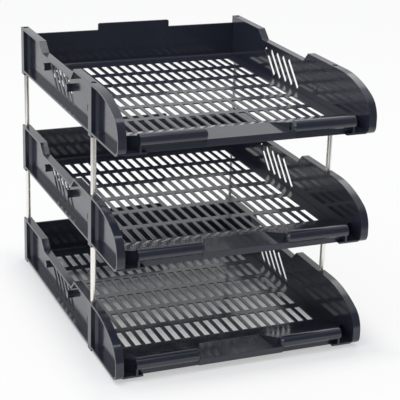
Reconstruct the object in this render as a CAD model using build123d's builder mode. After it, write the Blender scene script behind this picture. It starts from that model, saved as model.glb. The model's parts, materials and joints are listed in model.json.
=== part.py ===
from build123d import *

import math
import os

# Letter tray stack: three open trays, one above the other, on eight plain metal posts.
# Origin: middle of the footprint, at the feet. +X right, -Y front, +Z up, millimetres.

# Whole stack
overall_width = 260.0
overall_depth = 332.0
tray_height = 52.0
tray_pitch = 111.0
tray_names = ("bottom", "middle", "top")
storey_names = ("lower", "upper")

# Side panel: a thin web with a flange all round that turns outward
panel_width = 8.0
web_thickness = 1.2
flange_thickness = 2.2
foot_height = 3.0
nose_large_radius = 117.0
nose_large_angle = 27.0
nose_small_radius = 24.0
toe_radius = 9.0
notch_depth = 10.0
notch_from_rear = 73.0
notch_rear_slope = 12.0
notch_floor_length = 101.5
notch_front_slope = 10.0

# Columns in the side panel and the posts that plug into them
column_depth = 10.0
column_spacing = 244.0
column_flare = 2.5
post_diameter = 5.5
post_end_chamfer = 0.6
socket_depth = 18.0
press_clearance = 0.05
slide_clearance = 0.10

# Openings and studs of the web
web_slot_count = 5
web_slot_width = 5.8
web_slot_pitch = 14.5
web_slot_from_rear = 91.5
web_slot_top = 37.3
web_slot_bottom = 8.0
stud_diameter = 8.0
rear_stud_from_rear = 89.5
rear_stud_height = 28.5
front_stud_from_rear = 171.5
front_stud_height = 27.0
slit_width = 1.6
slit_height = 6.0
slit_from_column = 27.5
slit_middle_height = 20.0

# Ledge and front bracket of the side panel, which carry the deck
ledge_height = 3.8
ledge_thickness = 2.0
ledge_width = 10.0
bracket_width = 21.0
bracket_length = 37.0
bracket_setback = 4.0

# Deck: slotted floor, ramp, two rolled grips and a finger scoop
deck_thickness = 1.2
side_clearance = 0.2
rear_clearance = 0.1
deck_slot_width = 6.5
deck_slot_length = 34.4
deck_slot_pitch_x = 10.6
deck_slot_pitch_y = 42.9
deck_slot_rear_margin = 20.2
deck_slot_front_margin = 0.8
deck_slot_side_margin = 12.4
ramp_from_front = 62.0
ramp_rise = 13.0
skirt_setback = 9.0
skirt_thickness = 2.0
corner_cut_width = 13.8
corner_cut_depth = 16.0
roll_radius = 6.0
roll_wall = 2.0
roll_lip_thickness = 3.5
roll_drop = 3.0
roll_end_chamfer = 2.2
roll_end_wall = 4.0
grip_plate_thickness = 2.0
grip_plate_rim = 0.5
grip_plate_overhang = 0.6
scoop_from_front = 33.5
scoop_rear_half_width = 32.0
scoop_front_half_width = 43.0
scoop_fall = 1.0
lip_setback = 2.0
lip_height = 6.3
lip_end_overlap = 1.5
seam_overlap = 1.0

# Back panel with its raised middle
back_thickness = 2.2
back_height = 38.2
tab_half_width = 42.0
tab_rise = 7.6
tab_corner_radius = 2.0
foot_cove_radius = 2.5

# Levels and faces worked out from the sizes above
half_width = overall_width / 2
rear_y = overall_depth / 2
front_y = -rear_y
web_inner_x = half_width - panel_width
web_outer_x = web_inner_x + web_thickness
post_x = half_width - panel_width / 2
rear_column_y = rear_y - column_depth / 2
front_column_y = rear_column_y - column_spacing
deck_bottom = ledge_height + ledge_thickness
deck_top = deck_bottom + deck_thickness
deck_half_width = web_inner_x - side_clearance
back_front_y = rear_y - back_thickness
deck_rear_y = back_front_y - rear_clearance
skirt_front_y = front_y + skirt_setback
skirt_rear_y = skirt_front_y + skirt_thickness
ramp_start_y = front_y + ramp_from_front
roll_y = front_y + roll_radius
ramp_top = deck_top + ramp_rise
roll_z = ramp_top - roll_drop
ramp_end_y = roll_y + math.sqrt(roll_radius**2 - roll_drop**2)
ramp_slope = ramp_rise / (ramp_start_y - ramp_end_y)
scoop_rear_y = front_y + scoop_from_front
scoop_rear_z = deck_top + (ramp_start_y - scoop_rear_y) * ramp_slope
scoop_slope = scoop_fall / scoop_from_front
scoop_front_z = scoop_rear_z - scoop_fall
lip_front_y = front_y + lip_setback
lip_back_y = lip_front_y + deck_thickness
lip_root_y = skirt_front_y + seam_overlap
lip_bottom = scoop_front_z - lip_height
grip_outer_x = deck_half_width - corner_cut_width + grip_plate_overhang


def make_side_panel():
    """Right-hand side panel: web, flange, two socketed columns, studs, ledge and bracket."""
    notch_rear_y = rear_y - notch_from_rear
    notch_floor_rear_y = notch_rear_y - notch_rear_slope
    notch_floor_front_y = notch_floor_rear_y - notch_floor_length
    notch_front_y = notch_floor_front_y - notch_front_slope
    notch_floor = tray_height - notch_depth
    turn = math.sin(math.radians(nose_large_angle))
    nose_start_y = front_y + nose_large_radius * turn + nose_small_radius * (1 - turn)
    web_plane = Plane.YZ.offset(web_inner_x)

    with BuildPart() as panel:
        with BuildSketch(web_plane) as outline:
            with BuildLine():
                Polyline(
                    (front_y + toe_radius, foot_height),
                    (rear_y, foot_height),
                    (rear_y, tray_height),
                    (notch_rear_y, tray_height),
                    (notch_floor_rear_y, notch_floor),
                    (notch_floor_front_y, notch_floor),
                    (notch_front_y, tray_height),
                    (nose_start_y, tray_height),
                )
                brow = JernArc(
                    (nose_start_y, tray_height), (-1, 0), nose_large_radius, nose_large_angle
                )
                chin = JernArc(brow @ 1, brow % 1, nose_small_radius, 90 - nose_large_angle)
                front = Line(chin @ 1, (front_y, foot_height + toe_radius))
                JernArc(front @ 1, (0, -1), toe_radius, 90)
            make_face()
        extrude(amount=web_thickness)

        with BuildSketch(web_plane):
            add(outline.sketch_local)
            offset(amount=-flange_thickness, kind=Kind.INTERSECTION, mode=Mode.SUBTRACT)
        extrude(amount=panel_width)

        for column_y in (front_column_y, rear_column_y):
            strip_front_y = column_y - column_depth / 2 - 2 * column_flare
            strip_rear_y = min(column_y + column_depth / 2 + 2 * column_flare, rear_y)
            with BuildSketch():
                with Locations((post_x, column_y)):
                    Rectangle(panel_width, column_depth)
                with Locations((web_inner_x, strip_front_y)):
                    Rectangle(web_thickness, strip_rear_y - strip_front_y, align=Align.MIN)
                inner_corners = [
                    corner
                    for corner in vertices()
                    if math.isclose(corner.X, web_outer_x)
                    and math.isclose(abs(corner.Y - column_y), column_depth / 2)
                ]
                chamfer(inner_corners, column_flare)
            extrude(amount=tray_height)

        # The web strip between the feet goes
        with BuildSketch(Plane.YZ.offset(web_inner_x)):
            for column_y in (front_column_y, rear_column_y):
                for side in (-1, 1):
                    with Locations((column_y + side * (column_depth + 2 * column_flare), 0)):
                        Rectangle(column_depth + 4 * column_flare, 2 * foot_height)
        extrude(amount=panel_width, mode=Mode.SUBTRACT)

        # Sockets in both ends of each column: a press fit on top, a sliding fit below
        for socket_z, clearance in (
            (tray_height - socket_depth, press_clearance),
            (0, slide_clearance),
        ):
            with BuildSketch(Plane.XY.offset(socket_z)):
                with Locations((post_x, front_column_y), (post_x, rear_column_y)):
                    Circle(post_diameter / 2 + clearance)
            extrude(amount=socket_depth, mode=Mode.SUBTRACT)

        # Five slanted slots and a short slit through the web
        slot_rise = web_slot_top - web_slot_bottom
        with BuildSketch(web_plane):
            for number in range(web_slot_count):
                top_y = rear_y - web_slot_from_rear - number * web_slot_pitch
                with Locations((top_y - slot_rise / 2, web_slot_bottom + slot_rise / 2)):
                    Rectangle(
                        slot_rise * math.sqrt(2) - web_slot_width, web_slot_width, rotation=45
                    )
            with Locations((front_column_y + slit_from_column, slit_middle_height)):
                Rectangle(slit_width, slit_height)
        extrude(amount=web_thickness, mode=Mode.SUBTRACT)

        # Two studs stand out from the web as far as the flange does
        with BuildSketch(Plane.YZ.offset(web_outer_x)):
            with Locations(
                (rear_y - rear_stud_from_rear, rear_stud_height),
                (rear_y - front_stud_from_rear, front_stud_height),
            ):
                Circle(stud_diameter / 2)
        extrude(amount=half_width - web_outer_x)

        # Ledge under the deck's long edge, widened to a bracket under the ramp
        with BuildSketch(Plane.XY.offset(ledge_height)):
            with Locations((web_inner_x, rear_y)):
                Rectangle(
                    ledge_width, overall_depth - bracket_setback, align=(Align.MAX, Align.MAX)
                )
            with Locations((web_inner_x, front_y + bracket_setback)):
                Rectangle(bracket_width, bracket_length, align=(Align.MAX, Align.MIN))
        extrude(amount=ledge_thickness)
    return panel


def make_grip():
    """Right-hand rolled grip: a curled edge, open below, with a plate at its outer end."""
    inner_x = scoop_front_half_width
    with BuildPart() as grip:
        with BuildSketch(Plane.YZ.offset(inner_x)):
            with Locations((roll_y, roll_z)):
                Circle(roll_radius)
        roll = extrude(amount=grip_outer_x - inner_x)
        chamfer(roll.edges().filter_by(GeomType.CIRCLE).sort_by(Axis.X)[0], roll_end_chamfer)

        # The curl is hollow and open towards the table
        with BuildSketch(Plane.YZ.offset(inner_x + roll_end_wall)):
            with Locations((roll_y, roll_z)):
                Circle(roll_radius - roll_wall)
            with Locations((front_y + roll_lip_thickness, roll_z)):
                Rectangle(
                    skirt_setback - roll_lip_thickness + seam_overlap,
                    2 * roll_radius,
                    align=(Align.MIN, Align.MAX),
                )
        extrude(
            amount=grip_outer_x - grip_plate_thickness - inner_x - roll_end_wall,
            mode=Mode.SUBTRACT,
        )

        with BuildSketch(Plane.YZ.offset(grip_outer_x - grip_plate_thickness)):
            with Locations((roll_y, roll_z)):
                Circle(roll_radius - grip_plate_rim)
            with Locations((roll_y - roll_radius / 2, deck_bottom)):
                Rectangle(
                    skirt_front_y + seam_overlap - roll_y + roll_radius / 2,
                    roll_z - deck_bottom,
                    align=Align.MIN,
                )
        extrude(amount=grip_plate_thickness)
    return grip


def scoop_height(depth_y):
    """Height of the scoop's floor at a place along the depth."""
    return scoop_rear_z - (scoop_rear_y - depth_y) * scoop_slope


def make_deck():
    """Deck: slotted floor, ramp with skirt, grips and the scoop between them."""
    ramp_block_length = ramp_start_y - skirt_front_y
    ramp_block_top = deck_top + ramp_block_length * ramp_slope
    underside_drop = deck_thickness * math.sqrt(1 + ramp_slope**2)
    underside_start_y = ramp_start_y - (underside_drop - deck_thickness) / ramp_slope
    headroom = 2 * roll_radius

    with BuildPart() as scoop_space:
        with BuildSketch(Plane.YZ):
            with BuildLine():
                Polyline(
                    (scoop_rear_y, scoop_rear_z),
                    (front_y, scoop_front_z),
                    (front_y, scoop_front_z + headroom),
                    (scoop_rear_y, scoop_rear_z + headroom),
                    close=True,
                )
            make_face()
        extrude(amount=scoop_front_half_width, both=True)
        with BuildSketch() as scoop_plan:
            with BuildLine():
                Polyline(
                    (-scoop_rear_half_width, scoop_rear_y),
                    (scoop_rear_half_width, scoop_rear_y),
                    (scoop_front_half_width, roll_y),
                    (scoop_front_half_width, front_y),
                    (-scoop_front_half_width, front_y),
                    (-scoop_front_half_width, roll_y),
                    close=True,
                )
            make_face()
        extrude(amount=ramp_top + headroom, mode=Mode.INTERSECT)

    with BuildPart() as ramp_cavity:
        with BuildSketch(Plane.YZ):
            with BuildLine():
                Polyline(
                    (underside_start_y, deck_bottom),
                    (skirt_rear_y, deck_bottom + (underside_start_y - skirt_rear_y) * ramp_slope),
                    (skirt_rear_y, deck_bottom),
                    close=True,
                )
            make_face()
        extrude(amount=deck_half_width, both=True)
        with BuildSketch() as cavity_plan:
            with Locations((0, skirt_front_y)):
                Rectangle(
                    2 * deck_half_width,
                    ramp_block_length + 2 * deck_thickness,
                    align=(Align.CENTER, Align.MIN),
                )
            chamfer_front_corners()
            add(scoop_plan.sketch_local, mode=Mode.SUBTRACT)
            offset(amount=-deck_thickness, kind=Kind.INTERSECTION)
        extrude(amount=ramp_top, mode=Mode.INTERSECT)

    with BuildPart() as scoop_cavity:
        with BuildSketch(Plane.YZ):
            with BuildLine():
                Polyline(
                    (scoop_rear_y, scoop_rear_z - deck_thickness),
                    (skirt_rear_y, scoop_height(skirt_rear_y) - deck_thickness),
                    (skirt_rear_y, deck_bottom),
                    (scoop_rear_y, deck_bottom),
                    close=True,
                )
            make_face()
        extrude(amount=scoop_rear_half_width, both=True)

    grip = make_grip()
    with BuildPart() as deck:
        with BuildSketch(Plane.YZ):
            with BuildLine():
                Polyline(
                    (ramp_start_y, deck_top),
                    (skirt_front_y, ramp_block_top),
                    (skirt_front_y, deck_bottom),
                    (ramp_start_y, deck_bottom),
                    close=True,
                )
            make_face()
        extrude(amount=deck_half_width, both=True)
        with BuildSketch():
            with Locations((0, skirt_front_y)):
                Rectangle(
                    2 * deck_half_width, ramp_block_length, align=(Align.CENTER, Align.MIN)
                )
            chamfer_front_corners()
        extrude(amount=ramp_block_top, mode=Mode.INTERSECT)
        add(scoop_space.part, mode=Mode.SUBTRACT)
        add(ramp_cavity.part, mode=Mode.SUBTRACT)
        add(scoop_cavity.part, mode=Mode.SUBTRACT)

        # Lip of the scoop, turned down in front
        with BuildSketch(Plane.YZ):
            with BuildLine():
                Polyline(
                    (lip_root_y, scoop_height(lip_root_y)),
                    (lip_front_y, scoop_height(lip_front_y)),
                    (lip_front_y, lip_bottom),
                    (lip_back_y, lip_bottom),
                    (lip_back_y, scoop_height(lip_back_y) - deck_thickness),
                    (lip_root_y, scoop_height(lip_root_y) - deck_thickness),
                    close=True,
                )
            make_face()
        extrude(amount=scoop_front_half_width + lip_end_overlap, both=True)

        # The skirt reaches down between the brackets to the level of their lower face
        with BuildSketch(Plane.XY.offset(ledge_height)):
            with Locations((0, skirt_front_y)):
                Rectangle(
                    2 * (web_inner_x - bracket_width - side_clearance),
                    skirt_thickness,
                    align=(Align.CENTER, Align.MIN),
                )
        extrude(amount=ledge_thickness)

        add(grip.part)
        mirror(grip.part, about=Plane.YZ)

        # Floor with its rows of slots
        floor_length = deck_rear_y - ramp_start_y
        field_rear_y = rear_y - deck_slot_rear_margin
        field_length = field_rear_y - ramp_start_y - deck_slot_front_margin
        field_width = 2 * (deck_half_width - deck_slot_side_margin)
        rib_length = deck_slot_pitch_y - deck_slot_length
        rib_width = deck_slot_pitch_x - deck_slot_width
        rows = int((field_length + rib_length) / deck_slot_pitch_y)
        columns = int((field_width + rib_width) / deck_slot_pitch_x)
        field_middle_y = field_rear_y - (rows * deck_slot_pitch_y - rib_length) / 2
        with BuildSketch(Plane.XY.offset(deck_bottom)):
            with Locations((0, ramp_start_y)):
                Rectangle(2 * deck_half_width, floor_length, align=(Align.CENTER, Align.MIN))
            with Locations((0, field_middle_y)):
                with GridLocations(deck_slot_pitch_x, deck_slot_pitch_y, columns, rows):
                    Rectangle(deck_slot_width, deck_slot_length, mode=Mode.SUBTRACT)
        extrude(amount=deck_thickness)
    return deck


def chamfer_front_corners():
    """Cut both front corners off the open plan sketch."""
    for side in (-1, 1):
        corner = (side * deck_half_width, skirt_front_y)
        Polygon(
            corner,
            (side * deck_half_width, skirt_front_y + corner_cut_depth),
            (side * (deck_half_width - corner_cut_width), skirt_front_y),
            align=None,
            mode=Mode.SUBTRACT,
        )


def make_back_panel():
    """Back panel: thin sheet with a raised middle and a coved foot that stands on the deck."""
    with BuildPart() as back:
        with BuildSketch(Plane.XZ.offset(-rear_y)):
            with Locations((0, deck_bottom)):
                Rectangle(
                    2 * deck_half_width, back_height, align=(Align.CENTER, Align.MIN)
                )
                Rectangle(
                    2 * tab_half_width, back_height + tab_rise, align=(Align.CENTER, Align.MIN)
                )
            fillet(vertices().group_by(Axis.Y)[-1], tab_corner_radius)
        extrude(amount=back_thickness)
        with BuildSketch(Plane.YZ):
            with BuildLine():
                cove = JernArc(
                    (back_front_y - foot_cove_radius, deck_top), (1, 0), foot_cove_radius, 90
                )
                Polyline(cove @ 1, (back_front_y, deck_top), cove @ 0)
            make_face()
        extrude(amount=deck_half_width, both=True)
    return back


def make_post():
    """Post of the front right corner: a plain round rod, chamfered where the tray above slides on."""
    post_length = tray_pitch - tray_height + 2 * socket_depth
    with BuildPart() as post:
        with BuildSketch(Plane.XY.offset(tray_height - socket_depth)):
            with Locations((post_x, front_column_y)):
                Circle(post_diameter / 2)
        extrude(amount=post_length)
        chamfer(post.edges().group_by(Axis.Z)[-1], post_end_chamfer)
    return post


def write_piece(shape, node, height, shift=0.0, mirrored=False):
    """Place a copy of a finished shape on its storey and write it under its node's name."""
    with BuildPart() as piece:
        with Locations((0, shift, height)):
            add(shape)
        if mirrored:
            mirror(about=Plane.YZ, mode=Mode.REPLACE)
    piece.part.label = node
    export_step(piece.part, f"parts/{node}.step")


os.makedirs("parts", exist_ok=True)
side_panel = make_side_panel()
deck = make_deck()
back_panel = make_back_panel()
post = make_post()

for storey, tray in enumerate(tray_names):
    base = storey * tray_pitch
    write_piece(side_panel.part, f"{tray}_right_side", base)
    write_piece(side_panel.part, f"{tray}_left_side", base, mirrored=True)
    write_piece(deck.part, f"{tray}_deck", base)
    write_piece(back_panel.part, f"{tray}_back_panel", base)

for storey, level in enumerate(storey_names):
    base = storey * tray_pitch
    for end, shift in (("front", 0.0), ("rear", column_spacing)):
        write_piece(post.part, f"{level}_{end}_right_post", base, shift)
        write_piece(post.part, f"{level}_{end}_left_post", base, shift, mirrored=True)
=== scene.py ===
"""Looks of the three-tier letter tray stack: glossy dark plastic trays on bright metal posts."""

import json
import math

import bpy
from mathutils import Matrix, Vector

MM = 0.001

# The camera stands in front of the stack, a little to its left, and looks down at it
CAMERA_PLACE = (-0.4843, -1.2060, 0.5820)
CAMERA_YAW = math.radians(-22.662)
CAMERA_PITCH = math.radians(-19.711)
CAMERA_ROLL = math.radians(1.825)
CAMERA_LENS = 117.23
CAMERA_SENSOR = 36.0
CAMERA_CLIP = (0.05, 50.0)

WHITE = (1.0, 1.0, 1.0, 1.0)
PLASTIC_DARK = (0.0190, 0.0225, 0.0350, 1.0)
PLASTIC_LIGHT = (0.0270, 0.0315, 0.0480, 1.0)
PLASTIC_DUST = (0.075, 0.080, 0.092, 1.0)
PLASTIC_IOR = 1.57
PLATING_DARK = (0.90, 0.870, 0.815, 1.0)
PLATING_LIGHT = (0.97, 0.945, 0.90, 1.0)
PLATING_METALLIC = 0.80
PAPER_DARK = (0.88, 0.885, 0.90, 1.0)
PAPER_LIGHT = (0.92, 0.92, 0.925, 1.0)
WORLD_LIGHT = (0.55, 0.56, 0.58, 1.0)

FLOOR_HALF_SIZE = 6.0
# Half size of the patch under the stack where the floor's glow fades out, a painted shade that lets
# the real shadow show
SHADED_HALF_WIDTH = 0.125
SHADED_HALF_DEPTH = 0.160

# How bright the room in front is in reflections, against white; on the floor it also sets the
# painted shade seen in reflections
ROOM_IN_FRONT = 0.12

# Name, place, size and power of each lamp; all of them aim at the middle of the stack
LAMP_TARGET = (0.0, 0.0, 0.14)
SOFTBOXES = (
    ("top_softbox", (-0.35, -0.10, 1.60), (1.4, 1.4), 14.0),
    ("right_softbox", (1.05, 1.20, 1.50), (0.8, 0.8), 3.0),
    ("left_softbox", (-1.50, -0.45, 0.80), (0.9, 0.9), 4.0),
)

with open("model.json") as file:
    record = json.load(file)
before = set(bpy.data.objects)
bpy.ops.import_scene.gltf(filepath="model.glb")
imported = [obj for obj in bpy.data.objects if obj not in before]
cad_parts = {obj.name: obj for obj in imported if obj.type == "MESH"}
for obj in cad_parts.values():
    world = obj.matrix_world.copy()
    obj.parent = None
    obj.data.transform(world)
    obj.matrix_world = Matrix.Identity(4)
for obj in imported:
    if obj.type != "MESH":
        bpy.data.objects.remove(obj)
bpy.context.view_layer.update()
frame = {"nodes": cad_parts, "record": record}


class Nodes:
    """Short ways to add and join the nodes of one material or world."""

    def __init__(self, tree):
        self.tree = tree
        tree.nodes.clear()

    def add(self, kind, **settings):
        node = self.tree.nodes.new(kind)
        for name, value in settings.items():
            setattr(node, name, value)
        return node

    def link(self, source, target):
        self.tree.links.new(source, target)

    def put(self, target, value):
        """Join a socket to another, or set it to a plain value."""
        if isinstance(value, bpy.types.NodeSocket):
            self.link(value, target)
        else:
            target.default_value = value

    def noise(self, vector, scale, detail=2.0, roughness=0.5):
        node = self.add("ShaderNodeTexNoise")
        self.link(vector, node.inputs["Vector"])
        node.inputs["Scale"].default_value = scale
        node.inputs["Detail"].default_value = detail
        node.inputs["Roughness"].default_value = roughness
        return node.outputs["Fac"]

    def stretch(self, vector, scale):
        node = self.add("ShaderNodeMapping")
        self.link(vector, node.inputs["Vector"])
        node.inputs["Scale"].default_value = scale
        return node.outputs["Vector"]

    def remap(self, value, low, high, to_low, to_high, smooth=False):
        node = self.add("ShaderNodeMapRange")
        if smooth:
            node.interpolation_type = "SMOOTHSTEP"
        self.put(node.inputs["Value"], value)
        node.inputs["From Min"].default_value = low
        node.inputs["From Max"].default_value = high
        node.inputs["To Min"].default_value = to_low
        node.inputs["To Max"].default_value = to_high
        return node.outputs["Result"]

    def math(self, operation, first, second=None):
        node = self.add("ShaderNodeMath", operation=operation)
        self.put(node.inputs[0], first)
        if second is not None:
            self.put(node.inputs[1], second)
        return node.outputs["Value"]

    def mix_colour(self, factor, first, second):
        node = self.add("ShaderNodeMix", data_type="RGBA")
        self.put(node.inputs["Factor"], factor)
        self.put(node.inputs["A"], first)
        self.put(node.inputs["B"], second)
        return node.outputs["Result"]

    def bump(self, height, strength, distance, normal=None):
        node = self.add("ShaderNodeBump")
        self.link(height, node.inputs["Height"])
        node.inputs["Strength"].default_value = strength
        node.inputs["Distance"].default_value = distance
        if normal is not None:
            self.link(normal, node.inputs["Normal"])
        return node.outputs["Normal"]

    def soft_edges(self, radius):
        node = self.add("ShaderNodeBevel", samples=6)
        node.inputs["Radius"].default_value = radius
        return node.outputs["Normal"]


def new_material(name):
    material = bpy.data.materials.new(name)
    material.use_nodes = True
    return material, Nodes(material.node_tree)


def make_plastic():
    """Glossy injection-moulded polystyrene: near black, blue-grey, with slight waves and scuffs."""
    material, nodes = new_material("dark_gloss_plastic")
    place = nodes.add("ShaderNodeTexCoord").outputs["Object"]

    cloud = nodes.noise(place, 14.0, 3.0)
    speck = nodes.noise(place, 900.0, 1.0)
    smear = nodes.noise(nodes.stretch(place, (30.0, 4.0, 60.0)), 3.0, 4.0, 0.6)
    scratch = nodes.noise(nodes.stretch(place, (60.0, 9.0, 420.0)), 6.0, 2.0, 0.55)

    tone = nodes.mix_colour(cloud, PLASTIC_DARK, PLASTIC_LIGHT)
    dust = nodes.remap(speck, 0.66, 0.80, 0.0, 0.25)
    colour = nodes.mix_colour(dust, tone, PLASTIC_DUST)

    gloss = nodes.remap(smear, 0.35, 0.75, 0.09, 0.20)
    hairline = nodes.remap(scratch, 0.60, 0.72, 0.0, 0.10)
    roughness = nodes.math("ADD", gloss, hairline)

    rounded = nodes.soft_edges(0.55 * MM)
    waves = nodes.bump(nodes.noise(place, 26.0, 1.0), 0.30, 0.35 * MM, rounded)
    grain = nodes.bump(nodes.noise(place, 1400.0, 2.0), 0.03, 0.01 * MM, waves)

    shader = nodes.add("ShaderNodeBsdfPrincipled")
    nodes.put(shader.inputs["Base Color"], colour)
    nodes.put(shader.inputs["Roughness"], roughness)
    nodes.put(shader.inputs["Normal"], grain)
    shader.inputs["IOR"].default_value = PLASTIC_IOR
    output = nodes.add("ShaderNodeOutputMaterial")
    nodes.link(shader.outputs["BSDF"], output.inputs["Surface"])
    return material


def make_plated_steel():
    """Bright nickel-chrome plating on drawn rod: fine lines along the rod and a warm cast."""
    material, nodes = new_material("plated_steel_rod")
    place = nodes.add("ShaderNodeTexCoord").outputs["Object"]
    drawn = nodes.noise(nodes.stretch(place, (1.0, 1.0, 0.02)), 2600.0, 2.0)
    haze = nodes.noise(place, 55.0, 3.0, 0.6)

    colour = nodes.mix_colour(haze, PLATING_DARK, PLATING_LIGHT)
    roughness = nodes.remap(haze, 0.3, 0.75, 0.07, 0.17)
    normal = nodes.bump(drawn, 0.12, 0.03 * MM)

    shader = nodes.add("ShaderNodeBsdfPrincipled")
    nodes.put(shader.inputs["Base Color"], colour)
    nodes.put(shader.inputs["Roughness"], roughness)
    nodes.put(shader.inputs["Normal"], normal)
    shader.inputs["Metallic"].default_value = PLATING_METALLIC
    output = nodes.add("ShaderNodeOutputMaterial")
    nodes.link(shader.outputs["BSDF"], output.inputs["Surface"])
    return material


def dress_nodes():
    """Give each CAD node the finish of its material slot."""
    finishes = {"dark_plastic": make_plastic(), "plated_steel": make_plated_steel()}
    slots = {part["node"]: part["material_slot"] for part in frame["record"]["subparts"]}
    for name, piece in frame["nodes"].items():
        finish = finishes[slots[name]]
        for slot in piece.material_slots:
            slot.material = finish


def seen_directly(nodes):
    """A socket that is 1 for camera, glossy and transmission rays and 0 for the rays that
    light surfaces, and the Light Path node that it comes from."""
    path = nodes.add("ShaderNodeLightPath")
    seen = nodes.math("MAXIMUM", path.outputs["Is Camera Ray"], path.outputs["Is Glossy Ray"])
    return nodes.math("MAXIMUM", seen, path.outputs["Is Transmission Ray"]), path


def make_floor():
    """Pale floor that reads white and takes the stack's soft shadow, with painted shade near and
    under the stack, a painted glow under its front and painted shade in reflections.
    """
    material, nodes = new_material("pale_floor")
    seen, path = seen_directly(nodes)
    place = nodes.add("ShaderNodeNewGeometry").outputs["Position"]
    split = nodes.add("ShaderNodeSeparateXYZ")
    nodes.link(place, split.inputs[0])

    # Painted shade in reflections: to glossy rays only, the floor's glow darkens towards the front
    # and far to its left, while the camera sees it evenly white
    front = nodes.remap(split.outputs["Y"], -0.75, -0.30, ROOM_IN_FRONT, 1.0, smooth=True)
    painted_far_left_reflection_shade = nodes.remap(split.outputs["X"], -0.85, -0.50, 0.25, 1.0, smooth=True)
    room = nodes.math("MULTIPLY", front, painted_far_left_reflection_shade)
    strength = nodes.mix_colour(path.outputs["Is Glossy Ray"], WHITE, room)

    # Painted shade: the floor's glow fades out under the stack and just around it, so the floor
    # there shows its real shadow, darker than the glowing floor around, most of all towards the
    # back; towards the front under the stack a painted glow stands in for light coming in under the
    # trays
    across = nodes.math("ABSOLUTE", split.outputs["X"])
    along = nodes.math("ABSOLUTE", split.outputs["Y"])
    beside = nodes.math("SUBTRACT", across, SHADED_HALF_WIDTH)
    beyond = nodes.math("SUBTRACT", along, SHADED_HALF_DEPTH)
    distance = nodes.math("MAXIMUM", beside, beyond)
    glow_with_painted_shade_near_stack = nodes.remap(distance, -0.030, 0.060, 0.0, 0.86, smooth=True)
    painted_light_under_front = nodes.remap(split.outputs["Y"], 0.06, -0.15, 0.0, 0.45, smooth=True)
    glow_share_with_painted_light_and_shade = nodes.math("MAXIMUM", glow_with_painted_shade_near_stack, painted_light_under_front)

    paper = nodes.add("ShaderNodeBsdfDiffuse")
    grain = nodes.noise(place, 60.0, 3.0)
    nodes.put(paper.inputs["Color"], nodes.mix_colour(grain, PAPER_DARK, PAPER_LIGHT))
    glow = nodes.add("ShaderNodeEmission")
    nodes.put(glow.inputs["Color"], strength)
    share = nodes.math("MULTIPLY", seen, glow_share_with_painted_light_and_shade)
    blend = nodes.add("ShaderNodeMixShader")
    nodes.link(share, blend.inputs[0])
    nodes.link(paper.outputs["BSDF"], blend.inputs[1])
    nodes.link(glow.outputs["Emission"], blend.inputs[2])
    output = nodes.add("ShaderNodeOutputMaterial")
    nodes.link(blend.outputs["Shader"], output.inputs["Surface"])

    mesh = bpy.data.meshes.new("floor")
    corners = [
        (x * FLOOR_HALF_SIZE, y * FLOOR_HALF_SIZE, 0.0)
        for x, y in ((-1, -1), (1, -1), (1, 1), (-1, 1))
    ]
    mesh.from_pydata(corners, [], [(0, 1, 2, 3)])
    floor = bpy.data.objects.new("floor", mesh)
    bpy.context.collection.objects.link(floor)
    mesh.materials.append(material)


def make_world():
    """White surroundings that reflections show darker behind the camera and to the right."""
    world = bpy.data.worlds.new("studio")
    bpy.context.scene.world = world
    world.use_nodes = True
    nodes = Nodes(world.node_tree)
    seen, path = seen_directly(nodes)
    direction = nodes.add("ShaderNodeTexCoord").outputs["Generated"]
    split = nodes.add("ShaderNodeSeparateXYZ")
    nodes.link(direction, split.inputs[0])
    front = nodes.remap(split.outputs["Y"], -0.55, 0.10, ROOM_IN_FRONT, 1.0, smooth=True)
    right = nodes.remap(split.outputs["X"], 0.0, 0.40, 1.0, 0.84, smooth=True)
    room = nodes.math("MULTIPLY", front, right)

    lit = nodes.mix_colour(seen, WORLD_LIGHT, WHITE)
    colour = nodes.mix_colour(path.outputs["Is Glossy Ray"], lit, room)
    background = nodes.add("ShaderNodeBackground")
    nodes.put(background.inputs["Color"], colour)
    output = nodes.add("ShaderNodeOutputWorld")
    nodes.link(background.outputs["Background"], output.inputs["Surface"])


def add_softbox(name, place, size, power):
    """A rectangular lamp aimed at the stack, which the camera doesn't see."""
    lamp = bpy.data.lights.new(name, "AREA")
    lamp.shape = "RECTANGLE"
    lamp.size, lamp.size_y = size
    lamp.energy = power
    softbox = bpy.data.objects.new(name, lamp)
    bpy.context.collection.objects.link(softbox)
    softbox.location = place
    aim = Vector(LAMP_TARGET) - Vector(place)
    softbox.rotation_mode = "QUATERNION"
    softbox.rotation_quaternion = aim.to_track_quat("-Z", "Y")
    softbox.visible_camera = False


def light_stage():
    for name, place, size, power in SOFTBOXES:
        add_softbox(name, place, size, power)


def place_camera():
    """The camera's own axes, from its yaw, pitch and roll."""
    forward = Vector(
        (
            -math.sin(CAMERA_YAW) * math.cos(CAMERA_PITCH),
            math.cos(CAMERA_YAW) * math.cos(CAMERA_PITCH),
            math.sin(CAMERA_PITCH),
        )
    )
    level_right = Vector((math.cos(CAMERA_YAW), math.sin(CAMERA_YAW), 0.0))
    level_up = level_right.cross(forward)
    right = math.cos(CAMERA_ROLL) * level_right + math.sin(CAMERA_ROLL) * level_up
    up = math.cos(CAMERA_ROLL) * level_up - math.sin(CAMERA_ROLL) * level_right

    lens = bpy.data.cameras.new("camera")
    lens.lens = CAMERA_LENS
    lens.sensor_width = CAMERA_SENSOR
    lens.clip_start, lens.clip_end = CAMERA_CLIP
    camera = bpy.data.objects.new("camera", lens)
    bpy.context.collection.objects.link(camera)
    turn = Matrix((right, up, -forward)).transposed().to_4x4()
    camera.matrix_world = Matrix.Translation(CAMERA_PLACE) @ turn
    bpy.context.scene.camera = camera


dress_nodes()
make_floor()
make_world()
light_stage()
place_camera()
bpy.context.scene.view_settings.view_transform = "Standard"
